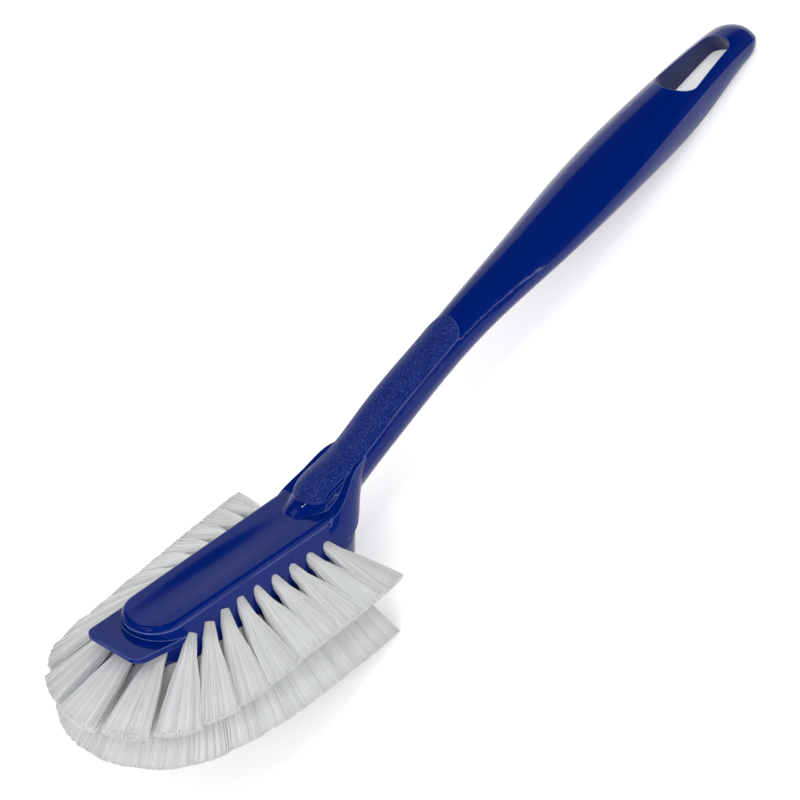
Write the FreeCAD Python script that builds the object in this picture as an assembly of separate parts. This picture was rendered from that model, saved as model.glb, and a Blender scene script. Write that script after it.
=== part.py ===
import FreeCAD, Part
import math
import os

# A dish brush with radial bristles: one plastic moulding, its tufts and the wire anchors that hold them.
# It is drawn with the head level, x running back along it and z up, and is then laid down the way it
# rests on a worktop. Lengths are millimetres, angles degrees.

# Head block, which holds the tufts: upright at its sole, then sloped in up to the rim of the crown
BLOCK_WIDTH = 25.6
BLOCK_DEPTH = 12.5
BLOCK_FRONT = 5.6
BLOCK_LENGTH = 77.0
BLOCK_SLOPE_DROP = 6.5
BLOCK_SOLE_CHAMFER = 1.0

# Crown, the boat-shaped top of the head, just inside its rim
RIM_WIDTH = 17.2
RIM_TAIL_WIDTH = 18.8
RIM_FRONT = 5.6
RIM_LENGTH = 75.0
RIM_HEIGHT = 1.1
CROWN_INSET = 0.25
CROWN_HEIGHT = 2.5
CROWN_ROOT_DEPTH = 3.0
CROWN_EDGE_RADIUS = 1.2

# Scraper tongue, which tips up a little towards its edge and widens towards its root
SCRAPER_WIDTH = 17.4
SCRAPER_ROOT_WIDTH = 20.8
SCRAPER_FRONT = -1.6
SCRAPER_LENGTH = 19.0
SCRAPER_THICKNESS = 1.8
SCRAPER_EDGE = 1.1
SCRAPER_BEVEL = 3.5
SCRAPER_CORNER_RADIUS = 2.6
SCRAPER_LIFT = 0.2
SCRAPER_TILT = 6.0

# Handle, from the round nose that stands up from the crown to the tail
HANDLE_START = 62.8
HANDLE_START_DROP = 0.6
HANDLE_RUN = 209.7
HANDLE_RISE = 67.7
GRIP_WIDTH = 21.0
GRIP_THICKNESS = 13.2

# Each station along the handle, as shares of the sizes above: how far along the run, how far up the
# rise, and the half width; then the crown above the edge line and the depth under it as shares of the
# thickness, and the width of the underside as a share of the half width there.
HANDLE_STATION_SHARES = (
    (0.00, 0.009, 0.30, 0.14, 0.16, 0.80),
    (0.008, 0.016, 0.36, 0.26, 0.26, 0.80),
    (0.023, 0.019, 0.52, 0.36, 0.34, 0.74),
    (0.042, 0.022, 0.64, 0.46, 0.42, 0.66),
    (0.101, 0.095, 0.63, 0.47, 0.36, 0.74),
    (0.171, 0.202, 0.605, 0.45, 0.31, 0.82),
    (0.253, 0.314, 0.605, 0.43, 0.31, 0.82),
    (0.330, 0.409, 0.635, 0.41, 0.31, 0.83),
    (0.402, 0.486, 0.72, 0.38, 0.32, 0.88),
    (0.498, 0.573, 0.87, 0.37, 0.35, 0.92),
    (0.620, 0.688, 1.00, 0.37, 0.44, 0.94),
    (0.734, 0.783, 0.97, 0.35, 0.60, 0.95),
    (0.851, 0.878, 0.84, 0.31, 0.66, 0.96),
    (0.928, 0.952, 0.75, 0.26, 0.47, 0.96),
    (0.964, 0.980, 0.71, 0.24, 0.38, 0.96),
    (0.99, 0.992, 0.65, 0.20, 0.31, 0.96),
    (1.00, 0.991, 0.54, 0.16, 0.26, 0.96),
)
SIDE_BULGE_SHARE = 0.06
FLOOR_SAG_SHARE = 0.05

# Shoulders, which carry the rim of the crown up to the neck. Each section is a share of the block's half
# length back from its middle, shares of its half width at the rim and at the foot, and shares of its depth
# for how high the rim stands and how far the foot drops.
SHOULDER_SHARES = (
    (0.36, 0.66, 0.86, 0.04, 0.45),
    (0.62, 0.715, 0.90, 0.11, 0.45),
    (0.76, 0.715, 0.93, 0.27, 0.40),
    (0.86, 0.63, 0.87, 0.45, 0.32),
    (0.95, 0.54, 0.71, 0.66, 0.12),
    (1.05, 0.48, 0.50, 0.80, -0.16),
    (1.17, 0.38, 0.40, 0.86, -0.42),
)
SHOULDER_CAMBER_SHARE = 0.03

# Raised thumb pad on top of the neck
PAD_START_SHARE = 0.029
PAD_END_SHARE = 0.329
PAD_WIDTH = 10.4
PAD_RAISE = 0.45

# Hanging slot through the tail, narrower towards its end, which leans back under the tail
SLOT_WIDTH = 13.2
SLOT_TAIL_WIDTH = 9.6
SLOT_LENGTH = 32.6
SLOT_END_ANGLE = 28.0
SLOT_CENTRE_SHARE = 0.889

# Tufts, each pressed into a blind hole and held by a flat wire anchor in its fold
HOLE_DIAMETER = 2.8
HOLE_DEPTH = 4.6
TUFT_CLEARANCE = 0.04
TUFT_COLLAR = 1.6
ANCHOR_LENGTH = 2.5
ANCHOR_HEIGHT = 1.5
ANCHOR_THICKNESS = 0.35
ANCHOR_LIFT = 0.8
FAN_TURN = 40.0
REAR_SPLAY_ANGLE = 14.0
FRONT_PITCH = 7.4
STEEPEST_PLACE = 30.0

UPPER_DROP = 4.6
UPPER_FRONT_COUNT = 3
UPPER_SIDE_COUNT = 8
UPPER_END = 4.1
UPPER_FRONT_ANGLE = 27.0
UPPER_SIDE_ANGLE = 38.0
UPPER_REAR_ANGLE = 24.0
UPPER_FRONT_LENGTH = 23.0
UPPER_SIDE_LENGTH = 17.5
UPPER_TIP_DIAMETER = 6.4

LOWER_DROP = 9.5
LOWER_FRONT_COUNT = 2
LOWER_SIDE_COUNT = 8
LOWER_END = 8.3
LOWER_FRONT_ANGLE = 49.0
LOWER_SIDE_ANGLE = 47.0
LOWER_REAR_ANGLE = 45.0
LOWER_FRONT_LENGTH = 24.5
LOWER_SIDE_LENGTH = 24.5
LOWER_TIP_DIAMETER = 6.6

SOLE_ROW_SPACING = 10.0
SOLE_ANGLE = 68.0
SOLE_LENGTH = 16.5
SOLE_TIP_DIAMETER = 6.4
SOLE_COUNT = 6
SOLE_MARGIN = 17.0

# How finely points are read from a shape
POINT_TOLERANCE = 0.05

Y_AXIS = FreeCAD.Vector(0, 1, 0)
Z_AXIS = FreeCAD.Vector(0, 0, 1)
ORIGIN = FreeCAD.Vector(0, 0, 0)


def point(x, y, z):
    return FreeCAD.Vector(x, y, z)


def line(start, end):
    return Part.LineSegment(start, end).toShape()


def arc(start, middle, end):
    return Part.Arc(start, middle, end).toShape()


def edges_at_height(solid, height):
    """The edges of a solid that lie wholly at one height."""
    found = []
    for edge in solid.Edges:
        box = edge.BoundBox
        if abs(box.ZMin - height) < POINT_TOLERANCE and abs(box.ZMax - height) < POINT_TOLERANCE:
            found.append(edge)
    return found


def boat_outline(front, length, half_width, tail_half_width, height):
    """A plan outline, round at both ends, that may narrow towards its tail."""
    nose = front + half_width
    tail = front + length - tail_half_width
    near, far = point(nose, -half_width, height), point(nose, half_width, height)
    near_tail, far_tail = point(tail, -tail_half_width, height), point(tail, tail_half_width, height)
    return Part.Wire([
        arc(near, point(front, 0, height), far),
        line(far, far_tail),
        arc(far_tail, point(front + length, 0, height), near_tail),
        line(near_tail, near),
    ])


def head_block():
    half = BLOCK_WIDTH / 2
    sole = boat_outline(BLOCK_FRONT, BLOCK_LENGTH, half, half, -BLOCK_DEPTH)
    ledge = boat_outline(BLOCK_FRONT, BLOCK_LENGTH, half, half, -BLOCK_SLOPE_DROP)
    rim = boat_outline(RIM_FRONT, RIM_LENGTH, RIM_WIDTH / 2, RIM_TAIL_WIDTH / 2, RIM_HEIGHT)
    block = Part.Face(sole).extrude(Z_AXIS * (BLOCK_DEPTH - BLOCK_SLOPE_DROP))
    block = block.makeChamfer(BLOCK_SOLE_CHAMFER, edges_at_height(block, -BLOCK_DEPTH))
    return block.fuse(Part.makeLoft([ledge, rim], True, True))


def crown():
    half, tail_half = RIM_WIDTH / 2 - CROWN_INSET, RIM_TAIL_WIDTH / 2 - CROWN_INSET
    front, length = RIM_FRONT + CROWN_INSET, RIM_LENGTH - 2 * CROWN_INSET
    outline = boat_outline(front, length, half, tail_half, -CROWN_ROOT_DEPTH)
    dome = Part.Face(outline).extrude(Z_AXIS * (CROWN_ROOT_DEPTH + CROWN_HEIGHT))
    return dome.makeFillet(CROWN_EDGE_RADIUS, edges_at_height(dome, CROWN_HEIGHT))


def scraper():
    """The tongue's side view, drawn across the head, and cut to its plan with two round front corners."""
    half, root_half = SCRAPER_WIDTH / 2, SCRAPER_ROOT_WIDTH / 2
    profile = [
        point(0, -root_half, 0),
        point(SCRAPER_LENGTH, -root_half, 0),
        point(SCRAPER_LENGTH, -root_half, -SCRAPER_THICKNESS),
        point(SCRAPER_BEVEL, -root_half, -SCRAPER_THICKNESS),
        point(0, -root_half, -SCRAPER_EDGE),
    ]
    plan = [
        point(0, -half, -SCRAPER_THICKNESS),
        point(SCRAPER_LENGTH, -root_half, -SCRAPER_THICKNESS),
        point(SCRAPER_LENGTH, root_half, -SCRAPER_THICKNESS),
        point(0, half, -SCRAPER_THICKNESS),
    ]
    tongue = Part.Face(Part.makePolygon(plan + plan[:1])).extrude(Z_AXIS * SCRAPER_THICKNESS)
    upright = [edge for edge in tongue.Edges
               if edge.BoundBox.XMax < POINT_TOLERANCE and edge.BoundBox.YLength < POINT_TOLERANCE]
    tongue = tongue.makeFillet(SCRAPER_CORNER_RADIUS, upright)
    side_view = Part.Face(Part.makePolygon(profile + profile[:1])).extrude(Y_AXIS * SCRAPER_ROOT_WIDTH)
    tongue = tongue.common(side_view)
    tongue.rotate(ORIGIN, Y_AXIS, SCRAPER_TILT)
    tongue.translate(point(SCRAPER_FRONT, 0, SCRAPER_LIFT))
    return tongue


def arched_section(place, slope, half_width, rise, depth, floor_half_width):
    """A closed section square to the handle: an arched top, two sides and a slightly sagging floor."""
    up = point(-math.sin(slope), 0, math.cos(slope))

    def at(across, above):
        return place + Y_AXIS * across + up * above

    bulge = half_width * SIDE_BULGE_SHARE
    side = (half_width + floor_half_width) / 2 + bulge
    sag = depth * FLOOR_SAG_SHARE
    near, far = at(-half_width, 0), at(half_width, 0)
    near_floor, far_floor = at(-floor_half_width, -depth), at(floor_half_width, -depth)
    return Part.Wire([
        arc(near, at(0, rise), far),
        arc(far, at(side, -depth / 2), far_floor),
        arc(far_floor, at(0, -depth - sag), near_floor),
        arc(near_floor, at(-side, -depth / 2), near),
    ])


def handle_places():
    """The middle of each station, and the slope of the handle there."""
    places = []
    for along, up, *_ in HANDLE_STATION_SHARES:
        places.append(point(HANDLE_START + along * HANDLE_RUN, 0, up * HANDLE_RISE - HANDLE_START_DROP))
    slopes = []
    for index in range(len(places)):
        before = places[max(index - 1, 0)]
        after = places[min(index + 1, len(places) - 1)]
        slopes.append(math.atan2(after.z - before.z, after.x - before.x))
    return places, slopes


def handle_section(index, grow):
    """One station of the handle, its top and sides grown outwards by a given amount."""
    places, slopes = handle_places()
    _, _, width, rise, depth, floor = HANDLE_STATION_SHARES[index]
    half_width = width * GRIP_WIDTH / 2
    rise, depth = rise * GRIP_THICKNESS, depth * GRIP_THICKNESS
    slope = slopes[index]
    up = point(-math.sin(slope), 0, math.cos(slope))
    edge_line = places[index] + up * ((depth - rise) / 2)
    return arched_section(edge_line, slope, half_width + grow, rise + grow, depth, half_width * floor)


def handle(first, last, grow):
    wires = [handle_section(index, grow) for index in range(first, last + 1)]
    return Part.makeLoft(wires, True, False)


def shoulders():
    half_length = BLOCK_LENGTH / 2
    middle = BLOCK_FRONT + half_length
    wires = []
    for back, width, foot_width, above, under in SHOULDER_SHARES:
        half_width, foot_half_width = width * BLOCK_WIDTH / 2, foot_width * BLOCK_WIDTH / 2
        edge_line = point(middle + back * half_length, 0, above * BLOCK_DEPTH)
        depth = (above + under) * BLOCK_DEPTH
        camber = half_width * SHOULDER_CAMBER_SHARE
        wires.append(arched_section(edge_line, 0, half_width, camber, depth, foot_half_width))
    return Part.makeLoft(wires, True, False)


def spot_on_handle(share):
    """A place on the handle's middle line, and its slope there, at a share of the run."""
    places, slopes = handle_places()
    stations = [row[0] for row in HANDLE_STATION_SHARES]
    after = next(index for index, value in enumerate(stations) if value >= share and index > 0)
    before = after - 1
    part = (share - stations[before]) / (stations[after] - stations[before])
    place = places[before] + (places[after] - places[before]) * part
    return place, slopes[before] + (slopes[after] - slopes[before]) * part


def along_handle(shape, place, slope):
    """Turns a shape drawn flat so that it lies along the handle at a place."""
    shape.rotate(ORIGIN, Y_AXIS, -math.degrees(slope))
    shape.translate(place)
    return shape


def thumb_pad():
    start, _ = spot_on_handle(PAD_START_SHARE)
    end, _ = spot_on_handle(PAD_END_SHARE)
    reach = end - start
    outline = boat_outline(0, reach.Length, PAD_WIDTH / 2, PAD_WIDTH / 2, 0)
    prism = Part.Face(outline).extrude(Z_AXIS * GRIP_THICKNESS)
    prism = along_handle(prism, start, math.atan2(reach.z, reach.x))
    last = 1 + sum(1 for row in HANDLE_STATION_SHARES if row[0] < PAD_END_SHARE)
    return handle(0, last, PAD_RAISE).common(prism)


def hanging_slot():
    place, slope = spot_on_handle(SLOT_CENTRE_SHARE)
    half, tail_half = SLOT_WIDTH / 2, SLOT_TAIL_WIDTH / 2
    lean = GRIP_THICKNESS * math.tan(math.radians(SLOT_END_ANGLE))
    outlines = []
    for height, reach in ((-GRIP_THICKNESS, lean), (GRIP_THICKNESS, -lean)):
        outlines.append(boat_outline(-SLOT_LENGTH / 2, SLOT_LENGTH + reach, half, tail_half, height))
    return along_handle(Part.makeLoft(outlines, True, True), place, slope)


class Tuft:
    """Where a tuft leaves the block, which way it points, and its size outside the hole."""

    def __init__(self, root, heading, side, down, length, tip_diameter):
        turn, dip = math.radians(heading), math.radians(down)
        self.root = root
        self.direction = point(-math.cos(turn) * math.cos(dip), side * math.sin(turn) * math.cos(dip),
                               -math.sin(dip))
        self.length = length
        self.tip_diameter = tip_diameter

    def placed(self, shape):
        """Moves a shape drawn along z, from the block's face at z 0, to this tuft's place."""
        shape.Placement = FreeCAD.Placement(self.root, FreeCAD.Rotation(Z_AXIS, self.direction))
        return shape

    def hole(self):
        cutter = Part.makeCylinder(HOLE_DIAMETER / 2, HOLE_DEPTH + HOLE_DIAMETER, point(0, 0, -HOLE_DEPTH))
        return self.placed(cutter)

    def anchor(self):
        plate = Part.makeBox(ANCHOR_LENGTH, ANCHOR_THICKNESS, ANCHOR_HEIGHT,
                             point(-ANCHOR_LENGTH / 2, -ANCHOR_THICKNESS / 2, ANCHOR_LIFT - HOLE_DEPTH))
        return self.placed(plate)

    def bristles(self):
        """The bundle, straight in its hole and flared outside it, with the slot that its anchor fills."""
        radius = HOLE_DIAMETER / 2 - TUFT_CLEARANCE
        tip = self.tip_diameter / 2
        profile = [
            point(0, 0, TUFT_CLEARANCE - HOLE_DEPTH),
            point(radius, 0, TUFT_CLEARANCE - HOLE_DEPTH),
            point(radius, 0, TUFT_COLLAR),
            point(tip, 0, self.length),
            point(0, 0, self.length),
        ]
        bundle = Part.Face(Part.makePolygon(profile + profile[:1])).revolve(ORIGIN, Z_AXIS, 360)
        slot_thickness = ANCHOR_THICKNESS + 2 * TUFT_CLEARANCE
        slot = Part.makeBox(HOLE_DIAMETER, slot_thickness, ANCHOR_HEIGHT + 2 * TUFT_CLEARANCE,
                            point(-HOLE_DIAMETER / 2, -slot_thickness / 2,
                                  ANCHOR_LIFT - HOLE_DEPTH - TUFT_CLEARANCE))
        return self.placed(bundle.cut(slot))


def block_path(distance):
    """A place on the block's wall in plan, by its distance round from the middle of the front."""
    reach = BLOCK_WIDTH / 2
    centre = BLOCK_FRONT + reach
    quarter = reach * math.pi / 2
    if distance < quarter:
        turn = distance / reach
        return centre - reach * math.cos(turn), reach * math.sin(turn)
    return centre + distance - quarter, reach


def row_end(end):
    """The distance round to a row's last tuft, which stands forward of the block's round rear."""
    return BLOCK_WIDTH / 2 * math.pi / 2 + BLOCK_LENGTH - BLOCK_WIDTH - end


def fan_heading(distance, last):
    """Straight ahead at the front, square to the head after the turn, splayed back at the rear."""
    if distance < FAN_TURN:
        return 90 * distance / FAN_TURN
    return 90 + REAR_SPLAY_ANGLE * (distance - FAN_TURN) / (last - FAN_TURN)


def blend(front, rear, part):
    return front + (rear - front) * min(part, 1)


def tilt_down(downs, distance, last):
    """How far a tuft points down: from the front to where its row has turned, then to the rear."""
    front, side, rear = downs
    if distance < STEEPEST_PLACE:
        return blend(front, side, distance / STEEPEST_PLACE)
    return blend(side, rear, (distance - STEEPEST_PLACE) / (last - STEEPEST_PLACE))


def fanned_row(drop, front, side_count, end, downs, lengths, tip_diameter):
    """One row of tufts round both sides and the front, from the near rear to the far rear."""
    last = row_end(end)
    step = (last - front[-1]) / side_count
    distances = front + [front[-1] + step * (index + 1) for index in range(side_count)]
    around = [(-1, distance) for distance in reversed(distances)]
    around += [(1, distance) for distance in distances if distance > 0]
    tufts = []
    for side, distance in around:
        x, y = block_path(distance)
        heading = fan_heading(distance, last)
        down, length = tilt_down(downs, distance, last), blend(*lengths, distance / FAN_TURN)
        tufts.append(Tuft(point(x, side * y, -drop), heading, side, down, length, tip_diameter))
    return tufts


def upper_row():
    front = [FRONT_PITCH * index for index in range(UPPER_FRONT_COUNT)]
    downs = (UPPER_FRONT_ANGLE, UPPER_SIDE_ANGLE, UPPER_REAR_ANGLE)
    return fanned_row(UPPER_DROP, front, UPPER_SIDE_COUNT, UPPER_END, downs,
                      (UPPER_FRONT_LENGTH, UPPER_SIDE_LENGTH), UPPER_TIP_DIAMETER)


def lower_row():
    """Staggered by half a pitch against the upper row."""
    front = [FRONT_PITCH * (index + 1 / 2) for index in range(LOWER_FRONT_COUNT)]
    downs = (LOWER_FRONT_ANGLE, LOWER_SIDE_ANGLE, LOWER_REAR_ANGLE)
    return fanned_row(LOWER_DROP, front, LOWER_SIDE_COUNT, LOWER_END, downs,
                      (LOWER_FRONT_LENGTH, LOWER_SIDE_LENGTH), LOWER_TIP_DIAMETER)


def sole_rows():
    """Two straight rows on the underside of the block."""
    run = BLOCK_LENGTH - 2 * SOLE_MARGIN
    tufts = []
    for side in (-1, 1):
        for index in range(SOLE_COUNT):
            back = SOLE_MARGIN + run * index / (SOLE_COUNT - 1)
            root = point(BLOCK_FRONT + back, side * SOLE_ROW_SPACING / 2, -BLOCK_DEPTH)
            heading = fan_heading(back, SOLE_MARGIN + run)
            tufts.append(Tuft(root, heading, side, SOLE_ANGLE, SOLE_LENGTH, SOLE_TIP_DIAMETER))
    return tufts


def moulding(tufts):
    """The handle and head in one piece, with the blind holes and the hanging slot cut."""
    solid = head_block().fuse([crown(), scraper(), shoulders(), handle(0, len(HANDLE_STATION_SHARES) - 1, 0)])
    solid = solid.fuse(thumb_pad())
    solid = solid.cut([tuft.hole() for tuft in tufts] + [hanging_slot()])
    return solid.removeSplitter().Solids[0]


def outline_points(shapes):
    """Points on the surfaces of some shapes, as x and z pairs."""
    points = []
    for shape in shapes:
        points += [(vertex.x, vertex.z) for vertex in shape.tessellate(POINT_TOLERANCE)[0]]
    return points


def lowest(points, angle):
    return min(z * math.cos(angle) - x * math.sin(angle) for x, z in points)


def resting_angle(bristle_points, plastic_points):
    """How far the nose tips up when the brush lies on its bristles and its tail."""
    low, high = 0, math.pi / 4
    while high - low > 1e-7:
        angle = (low + high) / 2
        if lowest(plastic_points, angle) > lowest(bristle_points, angle):
            low = angle
        else:
            high = angle
    return (low + high) / 2


def lying_placement(bristle_points, plastic_points):
    """Turns the brush to its rest and puts the middle of its underside at the origin."""
    angle = resting_angle(bristle_points, plastic_points)
    points = bristle_points + plastic_points
    across = [x * math.cos(angle) + z * math.sin(angle) for x, z in points]
    shift = point(-(min(across) + max(across)) / 2, 0, -lowest(points, angle))
    return FreeCAD.Placement(shift, FreeCAD.Rotation(Y_AXIS, math.degrees(angle)))


def main():
    rows = {"upper": upper_row(), "lower": lower_row(), "sole": sole_rows()}
    tufts = [tuft for row in rows.values() for tuft in row]
    nodes = {"brush_body": moulding(tufts)}
    for name, row in rows.items():
        for number, tuft in enumerate(row, 1):
            nodes[f"{name}_tuft_{number:02d}"] = tuft.bristles()
        nodes[f"{name}_row_anchors"] = Part.Compound([tuft.anchor() for tuft in row])
    bristles = [shape for name, shape in nodes.items() if "tuft" in name]
    lying = lying_placement(outline_points(bristles), outline_points([nodes["brush_body"]]))
    os.makedirs("parts", exist_ok=True)
    for name, shape in nodes.items():
        shape.Placement = lying.multiply(shape.Placement)
        shape.exportStep(f"parts/{name}.step")
    turned = math.degrees(lying.Rotation.Angle)
    print(f"{len(nodes)} nodes, {len(tufts)} tufts, nose up {turned:.2f} degrees, shift {lying.Base}")


main()
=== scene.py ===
import math
import random

import bmesh
import bpy
import numpy
from mathutils import Matrix, Vector


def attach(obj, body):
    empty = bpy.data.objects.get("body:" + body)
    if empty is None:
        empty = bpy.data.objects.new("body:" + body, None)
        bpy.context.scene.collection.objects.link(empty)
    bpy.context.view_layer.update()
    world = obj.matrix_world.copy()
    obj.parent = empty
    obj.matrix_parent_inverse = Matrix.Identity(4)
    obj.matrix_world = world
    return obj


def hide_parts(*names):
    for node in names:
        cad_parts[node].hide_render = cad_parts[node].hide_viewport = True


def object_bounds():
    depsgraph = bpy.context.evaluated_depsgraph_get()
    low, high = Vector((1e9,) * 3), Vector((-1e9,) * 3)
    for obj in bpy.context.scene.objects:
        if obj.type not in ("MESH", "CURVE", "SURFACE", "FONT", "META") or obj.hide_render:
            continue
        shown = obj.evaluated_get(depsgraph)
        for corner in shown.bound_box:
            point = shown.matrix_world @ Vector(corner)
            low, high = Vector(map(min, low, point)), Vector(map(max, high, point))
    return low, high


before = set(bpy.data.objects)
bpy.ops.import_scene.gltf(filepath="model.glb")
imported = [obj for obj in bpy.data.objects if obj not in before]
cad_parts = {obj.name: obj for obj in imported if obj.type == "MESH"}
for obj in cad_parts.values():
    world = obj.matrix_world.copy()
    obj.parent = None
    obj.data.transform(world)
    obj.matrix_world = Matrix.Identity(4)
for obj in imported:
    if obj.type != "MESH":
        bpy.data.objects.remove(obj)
cad_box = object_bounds()

MM = 0.001

# How the brush lies: nose up on its bristles, as in the part's source
NOSE_UP = math.radians(24.37)
LYING_SHIFT = Vector((-127.487, 0.0, 54.519)) * MM

# The photograph's camera, in the frame in which the head is level
CAMERA_PLACE = Vector((-263.0, -305.2, 332.4)) * MM
CAMERA_AZIMUTH = math.radians(-50.6)
CAMERA_ELEVATION = math.radians(33.4)
CAMERA_LENS = 95.9
CAMERA_SENSOR = 36.0

# Plastic of the body: its colour, its gloss, and its roughness from the best polished places to the least
DEEP_BLUE = "#001A66"
PLASTIC_IOR = 1.49
PLASTIC_GLOSS = 0.2
POLISHED_ROUGHNESS = (0.06, 0.11)

# Thumb pad on the neck: where its middle line starts, its slope down towards the tail, its plan and its sheen
PAD_START = Vector((-64.43, 0.0, 26.78)) * MM
PAD_SLOPE = math.radians(1.72)
PAD_LENGTH = 68.17 * MM
PAD_WIDTH = 10.4 * MM
PAD_EDGE = 0.4 * MM
PAD_ROUGHNESS = 0.42

# Grain of the pad, and between which levels of its noise its raised points are painted pale: a painted
# highlight for the glints of the pad's sheen
PAD_GRAIN = 0.36 * MM
PAD_GRAIN_HEIGHT = 0.06 * MM
GRAIN_GLINT_LEVELS = (0.53, 0.66)
GRAIN_GLINT_BLUE = "#2C468C"

# Faint waves that a moulding keeps from its cooling
SINK_WAVE = 14.0 * MM
SINK_HEIGHT = 0.02 * MM
SINK_STRENGTH = 0.5

# Shallow dish along the crown, where the thick plastic sank most: its middle, and half its length, width and
# height
DISH_MIDDLE = Vector((-94.5, 0.0, 42.3)) * MM
DISH_HALF_SIZE = Vector((38.0, 6.1, 4.0)) * MM
DISH_DEPTH = 0.57 * MM

# Edges that the mould leaves slightly round, and the cosines of their turn where a pale tint begins and is
# full: a painted highlight for the glints these rounded edges catch, and light scuffs from handling
EDGE_ROUNDING = 0.4 * MM
EDGE_SAMPLES = 6
SCUFF_AND_GLINT_TURN = (0.985, 0.9)
SCUFF_AND_GLINT_BLUE = "#7488CC"

# How pale the edge tint of painted glint and scuff is, from edges that see little handling to others, by
# levels of the cooling waves' noise
SCUFF_AND_GLINT_WAVES = (0.4, 0.56)
SCUFF_AND_GLINT_SHARES = (0.1, 0.6)

# Polyester of the filaments: its darkest and lightest tone, its gloss, and how far light clouds it
FILAMENT_GREY = "#BEBDBA"
FILAMENT_WHITE = "#DEE1E5"
FILAMENT_ROUGHNESS = 0.34
FILAMENT_IOR = 1.57
CLOUD_SHARE = 0.2
CLOUD_RADII_MM = (0.5, 0.5, 0.5)

# Wire of the anchors: its colour, the size of its die marks, and its roughness between them
WIRE_GREY = "#C4C5C6"
DIE_MARK = 1.0 * MM
WIRE_ROUGHNESS = (0.24, 0.38)

# CAD tufts: decimals of a metre at which corners count as one, the reach of an end's ring, and the length in
# the hole
CORNER_DECIMALS = 6
END_RING = 0.28 * MM
HOLE_DEPTH = 4.6 * MM

# Filaments of a tuft, and the close-packed core of the bundle, which stops short of their tips
FILAMENT_DIAMETER = 0.28 * MM
FILAMENT_SIDES = 5
FILAMENT_STEPS = 4
FILAMENTS_PER_TUFT = 420
FILAMENT_SCALE = (1.0, 1.0, 1.0)
CORE_SIDES = 24
CORE_SHARE = 0.965
CORE_SHORT = 0.7 * MM
CORE_TONE = 0.5

# Bundle at its root, and fanned out at its tip: its width as a share of the row's pitch, and its depth
ROOT_HIDDEN = 4.5 * MM
ROOT_HALF_WIDTH = 1.36 * MM
FAN_SHARE = 0.8
FAN_LEAST_HALF_WIDTH = 4.2 * MM
FAN_HALF_DEPTH = 2.3 * MM

# How wide a tuft of each row may fan out at its tip, and how its width grows on the way: 1 is evenly
UPPER_FAN = (6.0 * MM, 0.7)
LOWER_FAN = (9.0 * MM, 0.5)
SOLE_FAN = (7.0 * MM, 1.0)
SOLE_TUFTS_PER_SIDE = 6

# Section of a bundle: how far filaments crowd to its rim, how square its tip is, and how far the tip lies
# square to the tuft and not along the row
OUTER_SHARE = 0.3
SQUARE_SHARE = 0.6
STEP_SHARE = 0.15

# Steps that spread any number of filaments evenly over the section: powers of the real root of x^3 = x + 1
PACK_STEP_ACROSS = 0.7548777
PACK_STEP_DEEP = 0.5698403

# Strands that filaments cling together in, to each side of the middle, and how loose and ragged the tips are
STRANDS_ACROSS = 9
STRAND_PULL_SHARE = 0.12
TIP_LOOSE_SHARE = 0.025
TIP_RAGGED = 0.5 * MM
TUFT_SEED = 7

# Paper floor: its half width in metres, and the glow that lifts it to white where it is seen
FLOOR_HALF_WIDTH = 0.5
FLOOR_LIFT = 0.3
PAPER_WHITE = "#F4F4F4"
PURE_WHITE = "#FFFFFF"

# Light tent: its glow on matt surfaces, and its white sweep and dim ceiling, by the height of a ray's heading
TENT_GLOW = 0.75
HORIZON_GLOW = 0.9
CEILING_GLOW = 0.06
HORIZON_TOP = math.sin(math.radians(21.5))
CEILING_START = math.sin(math.radians(26))

# The tent's dimmer near side: its share of the sweep, and where it ends and the bright far side starts
NEAR_SIDE_GLOW = 0.2
NEAR_SIDE_END = 0.2
FAR_SIDE_START = 0.4

# Lamps, in metres and watts: place, target, width, height, power, and whether gloss mirrors the lamp
LAMPS = {
    "overhead softbox": ((-0.25, 0.1, 1.1), (-0.05, 0.0, 0.03), 0.7, 0.7, 1.8, True),
    "key softbox": ((-0.8, -0.35, 0.85), (-0.05, 0.0, 0.03), 0.25, 0.25, 1.4, True),
    "near softbox": ((-0.45, -0.9, 0.25), (-0.08, 0.0, 0.03), 0.9, 0.4, 1.3, False),
    "front fill": ((-0.7, -0.55, 0.33), (-0.1, 0.0, 0.03), 0.6, 0.6, 1.5, False),
    "glint lamp": ((0.35, -0.18, 1.13), (-0.06, 0.0, 0.03), 0.07, 0.07, 0.7, True),
    "near strip": ((0.75, -1.0, 0.28), (0.05, 0.0, 0.03), 1.4, 0.05, 1.6, True),
}


def to_linear(hex_colour):
    """An sRGB hex colour as linear RGBA."""
    channels = [int(hex_colour[i:i + 2], 16) / 255 for i in (1, 3, 5)]
    return tuple(c / 12.92 if c <= 0.04045 else ((c + 0.055) / 1.055) ** 2.4 for c in channels) + (1.0,)


def add_node(tree, kind, settings=None, links=None, **attributes):
    """Adds a node with attributes, socket values by name and links to sockets by name."""
    node = tree.nodes.new(kind)
    for name, value in attributes.items():
        setattr(node, name, value)
    for name, value in (settings or {}).items():
        node.inputs[name].default_value = value
    for name, source in (links or {}).items():
        tree.links.new(source, node.inputs[name])
    return node


def new_material(name):
    """An empty material with only its output node."""
    material = bpy.data.materials.new(name)
    material.use_nodes = True
    material.node_tree.nodes.clear()
    return material, material.node_tree, material.node_tree.nodes.new("ShaderNodeOutputMaterial")


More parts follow.
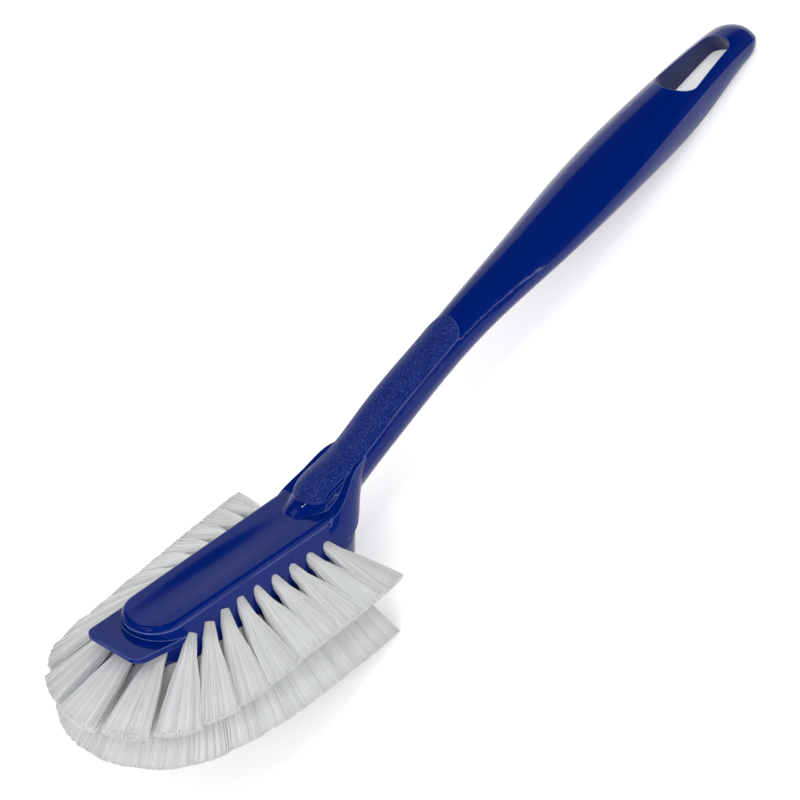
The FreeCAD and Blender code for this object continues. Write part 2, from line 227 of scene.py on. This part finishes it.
def thumb_pad_area(tree, place):
    """One on top of the thumb pad and nought elsewhere: a strip with round ends, seen from above."""
    along_pad = add_node(tree, "ShaderNodeMapping",
                         {"Location": PAD_START, "Rotation": (0.0, PAD_SLOPE, 0.0)},
                         {"Vector": place}, vector_type="TEXTURE")
    axes = add_node(tree, "ShaderNodeSeparateXYZ", links={0: along_pad.outputs[0]})
    middle = add_node(tree, "ShaderNodeClamp", {"Min": PAD_WIDTH / 2, "Max": PAD_LENGTH - PAD_WIDTH / 2},
                      {"Value": axes.outputs["X"]})
    past = add_node(tree, "ShaderNodeMath", links={0: axes.outputs["X"], 1: middle.outputs[0]},
                    operation="SUBTRACT")
    offset = add_node(tree, "ShaderNodeCombineXYZ", links={"X": past.outputs[0], "Y": axes.outputs["Y"]})
    away = add_node(tree, "ShaderNodeVectorMath", links={0: offset.outputs[0]}, operation="LENGTH")
    plan = add_node(tree, "ShaderNodeMapRange",
                    {"From Min": PAD_WIDTH / 2, "From Max": PAD_WIDTH / 2 - PAD_EDGE},
                    {"Value": away.outputs["Value"]})
    top = add_node(tree, "ShaderNodeMath", {1: 0.0}, {0: axes.outputs["Z"]}, operation="GREATER_THAN")
    return add_node(tree, "ShaderNodeMath", links={0: plan.outputs[0], 1: top.outputs[0]},
                    operation="MULTIPLY").outputs[0]


def crown_dish(tree, place):
    """How far the crown sank: one in the middle of its dish, fading smoothly to nought at the dish's edge."""
    in_dish = add_node(tree, "ShaderNodeMapping",
                       {"Location": DISH_MIDDLE, "Rotation": (0.0, NOSE_UP, 0.0), "Scale": DISH_HALF_SIZE},
                       {"Vector": place}, vector_type="TEXTURE")
    away = add_node(tree, "ShaderNodeVectorMath", links={0: in_dish.outputs[0], 1: in_dish.outputs[0]},
                    operation="DOT_PRODUCT")
    inside = add_node(tree, "ShaderNodeMapRange", {"From Min": 1.0, "From Max": 0.0},
                      {"Value": away.outputs["Value"]})
    return add_node(tree, "ShaderNodeMath", {1: 2.0}, {0: inside.outputs[0]}, operation="POWER").outputs[0]


def moulded_polypropylene():
    """Polypropylene from a polished mould, pigmented right through."""
    # A deep blue with clear reflections that waver a little and bend in the crown's dish. The thumb pad comes
    # from an eroded patch of the mould, so it has a fine grain and only a dull sheen; its raised points are
    # painted paler, a painted highlight for the glints of that sheen. The grain is drawn a little coarse so
    # that it shows.
    # Some edges are painted pale: a painted highlight for the glints of their rounding, and light scuffs from
    # handling.
    material, tree, output = new_material("moulded polypropylene")
    place = add_node(tree, "ShaderNodeTexCoord").outputs["Object"]
    pad = thumb_pad_area(tree, place)
    rounded = add_node(tree, "ShaderNodeBevel", {"Radius": EDGE_ROUNDING}, samples=EDGE_SAMPLES)
    waves = add_node(tree, "ShaderNodeTexNoise", {"Scale": 1 / SINK_WAVE, "Detail": 1.0}, {"Vector": place})
    sunk = add_node(tree, "ShaderNodeBump", {"Strength": SINK_STRENGTH, "Distance": SINK_HEIGHT},
                    {"Height": waves.outputs["Fac"], "Normal": rounded.outputs[0]})
    dished = add_node(tree, "ShaderNodeBump", {"Distance": DISH_DEPTH},
                      {"Height": crown_dish(tree, place), "Normal": sunk.outputs[0]}, invert=True)
    grit = add_node(tree, "ShaderNodeTexNoise", {"Scale": 1 / PAD_GRAIN, "Detail": 2.0}, {"Vector": place})
    grained = add_node(tree, "ShaderNodeBump", {"Distance": PAD_GRAIN_HEIGHT},
                       {"Strength": pad, "Height": grit.outputs["Fac"], "Normal": dished.outputs[0]})
    polish = add_node(tree, "ShaderNodeMapRange",
                      {"To Min": POLISHED_ROUGHNESS[0], "To Max": POLISHED_ROUGHNESS[1]},
                      {"Value": waves.outputs["Fac"]})
    dulled = add_node(tree, "ShaderNodeMapRange", {"To Max": PAD_ROUGHNESS},
                      {"Value": pad, "To Min": polish.outputs[0]})
    surface = add_node(tree, "ShaderNodeNewGeometry")
    keen = add_node(tree, "ShaderNodeVectorMath", links={0: surface.outputs["Normal"], 1: rounded.outputs[0]},
                    operation="DOT_PRODUCT")
    # Painted highlight and scuffs: sharply turning edges are painted pale, for their glints and light wear
    scuff_and_glint_strength = add_node(tree, "ShaderNodeMapRange",
                       {"From Min": SCUFF_AND_GLINT_WAVES[0], "From Max": SCUFF_AND_GLINT_WAVES[1],
                        "To Min": SCUFF_AND_GLINT_SHARES[0], "To Max": SCUFF_AND_GLINT_SHARES[1]},
                       {"Value": waves.outputs["Fac"]})
    scuff_and_glint = add_node(tree, "ShaderNodeMapRange", {"From Min": SCUFF_AND_GLINT_TURN[0], "From Max": SCUFF_AND_GLINT_TURN[1]},
                       {"Value": keen.outputs["Value"], "To Max": scuff_and_glint_strength.outputs[0]})
    # Painted highlight: the pad's raised grain points are painted paler, for the glints of its sheen
    glinting_grain = add_node(tree, "ShaderNodeMapRange", {"From Min": GRAIN_GLINT_LEVELS[0], "From Max": GRAIN_GLINT_LEVELS[1]},
                      {"Value": grit.outputs["Fac"]})
    painted_grain_glints = add_node(tree, "ShaderNodeMath", links={0: glinting_grain.outputs[0], 1: pad}, operation="MULTIPLY")
    colour = add_node(tree, "ShaderNodeMix", {"A": to_linear(DEEP_BLUE), "B": to_linear(GRAIN_GLINT_BLUE)},
                      {"Factor": painted_grain_glints.outputs[0]}, data_type="RGBA")
    edged = add_node(tree, "ShaderNodeMix", {"B": to_linear(SCUFF_AND_GLINT_BLUE)},
                     {"Factor": scuff_and_glint.outputs[0], "A": colour.outputs["Result"]}, data_type="RGBA")
    shader = add_node(tree, "ShaderNodeBsdfPrincipled",
                      {"IOR": PLASTIC_IOR, "Specular IOR Level": PLASTIC_GLOSS},
                      {"Base Color": edged.outputs["Result"], "Roughness": dulled.outputs[0],
                       "Normal": grained.outputs[0]})
    tree.links.new(shader.outputs["BSDF"], output.inputs["Surface"])
    return material


def drawn_polyester():
    """Drawn polyester filament without pigment."""
    # Milky white and a little see-through, with a soft gloss along each filament and a slightly different
    # tone from one to the next.
    material, tree, output = new_material("drawn polyester filament")
    tone = add_node(tree, "ShaderNodeAttribute", attribute_name="strand_tone")
    colour = add_node(tree, "ShaderNodeMix", {"A": to_linear(FILAMENT_GREY), "B": to_linear(FILAMENT_WHITE)},
                      {"Factor": tone.outputs["Fac"]}, data_type="RGBA")
    shader = add_node(tree, "ShaderNodeBsdfPrincipled",
                      {"Roughness": FILAMENT_ROUGHNESS, "IOR": FILAMENT_IOR, "Subsurface Weight": CLOUD_SHARE,
                       "Subsurface Radius": CLOUD_RADII_MM, "Subsurface Scale": MM},
                      {"Base Color": colour.outputs["Result"]})
    tree.links.new(shader.outputs["BSDF"], output.inputs["Surface"])
    return material


def drawn_wire():
    """Flat drawn stainless wire."""
    # Bright plain metal, a little uneven in polish from the drawing die, whose marks are drawn coarse so that
    # they show.
    material, tree, output = new_material("drawn stainless wire")
    place = add_node(tree, "ShaderNodeTexCoord").outputs["Object"]
    marks = add_node(tree, "ShaderNodeTexNoise", {"Scale": 1 / DIE_MARK, "Detail": 2.0}, {"Vector": place})
    polish = add_node(tree, "ShaderNodeMapRange",
                      {"To Min": WIRE_ROUGHNESS[0], "To Max": WIRE_ROUGHNESS[1]},
                      {"Value": marks.outputs["Fac"]})
    shader = add_node(tree, "ShaderNodeBsdfPrincipled", {"Base Color": to_linear(WIRE_GREY), "Metallic": 1.0},
                      {"Roughness": polish.outputs[0]})
    tree.links.new(shader.outputs["BSDF"], output.inputs["Surface"])
    return material


def finished(bm, name, material):
    """The bmesh as an object at the origin, smooth shaded, with its material."""
    mesh = bpy.data.meshes.new(name)
    bm.to_mesh(mesh)
    bm.free()
    mesh.shade_smooth()
    mesh.materials.append(material)
    piece = bpy.data.objects.new(name, mesh)
    bpy.context.scene.collection.objects.link(piece)
    return piece


def tuft_line(name):
    """Where a CAD tuft leaves the block, and where its tip is."""
    places = [v.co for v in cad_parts[name].data.vertices]
    corners = numpy.unique(numpy.round(places, CORNER_DECIMALS), axis=0)
    direction = numpy.linalg.svd(corners - corners.mean(0), full_matrices=False)[2][0]
    along = corners @ direction
    ends = [corners[along < along.min() + END_RING], corners[along > along.max() - END_RING]]
    ends.sort(key=lambda ring: numpy.ptp(ring, axis=0).max())
    foot, tip = (Vector(ring.mean(0)) for ring in ends)
    return foot + (tip - foot).normalized() * HOLE_DEPTH, tip


def round_blank(name, sides, radius):
    """A straight rod of unit length along z, cut square at both ends, with rings to bend it at."""
    blank = bmesh.new()
    bmesh.ops.create_cone(blank, cap_ends=True, segments=sides, radius1=radius, radius2=radius, depth=1.0,
                          matrix=Matrix.Translation((0.0, 0.0, 0.5)))
    lengthwise = [edge for edge in blank.edges if abs(edge.verts[0].co.z - edge.verts[1].co.z) > 0.5]
    bmesh.ops.subdivide_edges(blank, edges=lengthwise, cuts=FILAMENT_STEPS - 1, use_grid_fill=True)
    mesh = bpy.data.meshes.new(name)
    blank.to_mesh(mesh)
    blank.free()
    return mesh


class Tuft:
    """A bundle of filaments in place of a CAD tuft: round at its hole and fanned out along its row."""

    def __init__(self, line, row_line, row_bend, fan_curve):
        self.root, tip = line
        self.row_bend = row_bend
        self.fan_curve = fan_curve
        self.length = (tip - self.root).length
        self.direction = (tip - self.root).normalized()
        self.across = (row_line - self.direction * row_line.dot(self.direction)).normalized()
        self.tip_line = row_line.lerp(self.across, STEP_SHARE)
        self.depth = self.direction.cross(self.across)
        self.bm = bmesh.new()
        self.tone = self.bm.verts.layers.float.new("strand_tone")

    def lay(self, blank, start, end, scale, tone):
        """Lays a rod of one tone from a place in the root's section to a place in the tip's.

        The end's third value is how far it stops short. The scale holds at the root, then across and in depth
        at the tip."""
        first = len(self.bm.verts)
        self.bm.from_mesh(blank)
        self.bm.verts.ensure_lookup_table()
        for vert in self.bm.verts[first:]:
            x, y, share = vert.co
            root_x, root_y = start[0] + x * scale[0], start[1] + y * scale[0]
            square = (math.hypot(x, y) / max(abs(x), abs(y))) ** SQUARE_SHARE
            tip_x, tip_y = end[0] + x * square * scale[1], end[1] + y * square * scale[2]
            reach = self.length - end[2] - self.row_bend * tip_x ** 2
            run = share * (reach + ROOT_HIDDEN) - ROOT_HIDDEN
            spread = (max(run, 0.0) / self.length) ** self.fan_curve
            narrow = self.across * root_x + self.depth * root_y
            wide = self.tip_line * tip_x + self.depth * tip_y
            place = self.root + self.direction * run + narrow.lerp(wide, spread)
            vert.co = [min(max(value, low), high) for value, low, high in zip(place, *cad_box)]
            vert[self.tone] = tone


def fill_tuft(name, bundle, half_width, blanks, material, luck):
    """Fills one tuft: its close-packed core, and the filaments round it and past its end."""
    filament, core = blanks
    core_scale = (ROOT_HALF_WIDTH * CORE_SHARE, half_width * CORE_SHARE, FAN_HALF_DEPTH * CORE_SHARE)
    bundle.lay(core, (0.0, 0.0), (0.0, 0.0, CORE_SHORT), core_scale, CORE_TONE)
    strand_tones = [luck.random() for strand in range(2 * STRANDS_ACROSS + 1)]
    for number in range(1, FILAMENTS_PER_TUFT + 1):
        u = 2 * ((0.5 + number * PACK_STEP_ACROSS) % 1) - 1
        v = 2 * ((0.5 + number * PACK_STEP_DEEP) % 1) - 1
        outwards = max(abs(u), abs(v)) ** -OUTER_SHARE
        u, v = u * outwards, v * outwards
        round_u, round_v = u * math.sqrt(1 - v * v / 2), v * math.sqrt(1 - u * u / 2)
        strand = round(u * STRANDS_ACROSS)
        tone = (strand_tones[strand + STRANDS_ACROSS] + luck.random()) / 2
        pull = STRAND_PULL_SHARE * (strand / STRANDS_ACROSS - u)
        wide = (u + round_u) / 2 + pull + luck.gauss(0.0, TIP_LOOSE_SHARE)
        deep = (v + round_v) / 2 + luck.gauss(0.0, TIP_LOOSE_SHARE)
        start = (round_u * ROOT_HALF_WIDTH, round_v * ROOT_HALF_WIDTH)
        end = (wide * half_width, deep * FAN_HALF_DEPTH, TIP_RAGGED * luck.random() ** 2)
        bundle.lay(filament, start, end, FILAMENT_SCALE, tone)
    piece = finished(bundle.bm, name + "_filaments", material)
    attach(piece, "root")
    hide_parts(name)


def tuft_row(names, fan, blanks, material, luck):
    """A row of tufts, each fanned out towards the tips of its neighbours."""
    widest, fan_curve = fan
    lines = [tuft_line(name) for name in names]
    for index, name in enumerate(names):
        before, after = max(index - 1, 0), min(index + 1, len(names) - 1)
        row_line = lines[after][1] - lines[before][1]
        pitch = row_line.length / (after - before)
        half_width = min(max(pitch * FAN_SHARE, FAN_LEAST_HALF_WIDTH), widest)
        rise = (lines[index][1] - (lines[before][1] + lines[after][1]) / 2).length
        row_bend = rise / pitch ** 2 if after - before == 2 else 0.0
        bundle = Tuft(lines[index], row_line.normalized(), row_bend, fan_curve)
        fill_tuft(name, bundle, half_width, blanks, material, luck)


def row_names(row):
    """The names of one row's CAD tufts, in order along the row."""
    return sorted(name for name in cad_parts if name.startswith(row + "_tuft_"))


def paper_floor():
    """A sheet of white paper under the brush."""
    # Matt and even. It glows a little to the camera and in reflections, so that it reads as white.
    material, tree, output = new_material("white paper floor")
    path = add_node(tree, "ShaderNodeLightPath")
    seen = add_node(tree, "ShaderNodeMath",
                    links={0: path.outputs["Is Camera Ray"], 1: path.outputs["Is Glossy Ray"]},
                    operation="ADD")
    seen = add_node(tree, "ShaderNodeMath",
                    links={0: seen.outputs[0], 1: path.outputs["Is Transmission Ray"]},
                    operation="ADD")
    lift = add_node(tree, "ShaderNodeMath", {1: FLOOR_LIFT}, {0: seen.outputs[0]}, operation="MULTIPLY")
    matt = add_node(tree, "ShaderNodeBsdfDiffuse", {"Color": to_linear(PAPER_WHITE)})
    glow = add_node(tree, "ShaderNodeEmission", {"Color": to_linear(PURE_WHITE)},
                    {"Strength": lift.outputs[0]})
    both = add_node(tree, "ShaderNodeAddShader", links={0: matt.outputs[0], 1: glow.outputs[0]})
    tree.links.new(both.outputs[0], output.inputs["Surface"])
    sheet = bmesh.new()
    bmesh.ops.create_grid(sheet, x_segments=1, y_segments=1, size=FLOOR_HALF_WIDTH)
    floor = finished(sheet, "floor", material)


def light_tent():
    """The studio's own light, round the brush and its lamps."""
    # It lights matt surfaces from all round. Gloss mirrors only a white sweep under a dim ceiling, dimmer on
    # the near side, and the camera sees it white all over.
    world = bpy.data.worlds.new("studio")
    world.use_nodes = True
    tree = world.node_tree
    tree.nodes.clear()
    output = tree.nodes.new("ShaderNodeOutputWorld")
    path = add_node(tree, "ShaderNodeLightPath")
    heading = add_node(tree, "ShaderNodeTexCoord")
    axes = add_node(tree, "ShaderNodeSeparateXYZ", links={0: heading.outputs["Generated"]})
    sweep = add_node(tree, "ShaderNodeMapRange",
                     {"From Min": HORIZON_TOP, "From Max": CEILING_START,
                      "To Min": HORIZON_GLOW, "To Max": CEILING_GLOW},
                     {"Value": axes.outputs["Z"]}, interpolation_type="SMOOTHSTEP")
    side = add_node(tree, "ShaderNodeMapRange",
                    {"From Min": NEAR_SIDE_END, "From Max": FAR_SIDE_START, "To Min": NEAR_SIDE_GLOW},
                    {"Value": axes.outputs["Y"]}, interpolation_type="SMOOTHSTEP")
    room = add_node(tree, "ShaderNodeMath", links={0: sweep.outputs[0], 1: side.outputs[0]},
                    operation="MULTIPLY")
    tent = add_node(tree, "ShaderNodeMath", {1: TENT_GLOW},
                    {0: path.outputs["Is Diffuse Ray"], 2: room.outputs[0]}, operation="MULTIPLY_ADD")
    strength = add_node(tree, "ShaderNodeMath", links={0: tent.outputs[0], 1: path.outputs["Is Camera Ray"]},
                        operation="MAXIMUM")
    sky = add_node(tree, "ShaderNodeBackground", {"Color": to_linear(PURE_WHITE)},
                   {"Strength": strength.outputs[0]})
    tree.links.new(sky.outputs[0], output.inputs["Surface"])
    return world


def softbox(name, place, target, width, height, watts, mirrored):
    """An area lamp aimed at a target, which may be kept out of reflections."""
    lamp = bpy.data.lights.new(name, "AREA")
    lamp.shape = "RECTANGLE"
    lamp.size = width
    lamp.size_y = height
    lamp.energy = watts
    holder = bpy.data.objects.new(name, lamp)
    holder.location = place
    holder.rotation_mode = "QUATERNION"
    holder.rotation_quaternion = (Vector(target) - Vector(place)).to_track_quat("-Z", "Y")
    holder.visible_glossy = mirrored
    bpy.context.scene.collection.objects.link(holder)


def photo_camera():
    """The photograph's camera, moved and turned with the brush from its level frame to how it lies."""
    optics = bpy.data.cameras.new("photo camera")
    optics.lens = CAMERA_LENS
    optics.sensor_width = CAMERA_SENSOR
    camera = bpy.data.objects.new("photo camera", optics)
    bpy.context.scene.collection.objects.link(camera)
    level = math.cos(CAMERA_ELEVATION)
    back = Vector((math.sin(CAMERA_AZIMUTH) * level, -math.cos(CAMERA_AZIMUTH) * level,
                   math.sin(CAMERA_ELEVATION)))
    aim = (-back).to_track_quat("-Z", "Y").to_matrix().to_4x4()
    lying = Matrix.Translation(LYING_SHIFT) @ Matrix.Rotation(NOSE_UP, 4, "Y")
    camera.matrix_world = lying @ Matrix.Translation(CAMERA_PLACE) @ aim
    return camera


# Body and anchors: the CAD's own shapes, with their materials
blue = moulded_polypropylene()
steel = drawn_wire()
for name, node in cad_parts.items():
    if name == "brush_body" or name.endswith("anchors"):
        node.data.materials.clear()
        node.data.materials.append(blue if name == "brush_body" else steel)

# Bristles: a bundle of filaments for every tuft, row by row, with the sole's two sides as rows of their own
milky = drawn_polyester()
luck = random.Random(TUFT_SEED)
blanks = (round_blank("filament_blank", FILAMENT_SIDES, FILAMENT_DIAMETER / 2),
          round_blank("core_blank", CORE_SIDES, 1.0))
sole_names = row_names("sole")
rows = ((row_names("upper"), UPPER_FAN), (row_names("lower"), LOWER_FAN),
        (sole_names[:SOLE_TUFTS_PER_SIDE], SOLE_FAN), (sole_names[SOLE_TUFTS_PER_SIDE:], SOLE_FAN))
for names, fan in rows:
    tuft_row(names, fan, blanks, milky, luck)
for blank in blanks:
    bpy.data.meshes.remove(blank)

# Floor, light and camera
scene = bpy.context.scene
scene.view_settings.view_transform = "Standard"
paper_floor()
scene.world = light_tent()
for name, setting in LAMPS.items():
    softbox(name, *setting)
scene.camera = photo_camera()
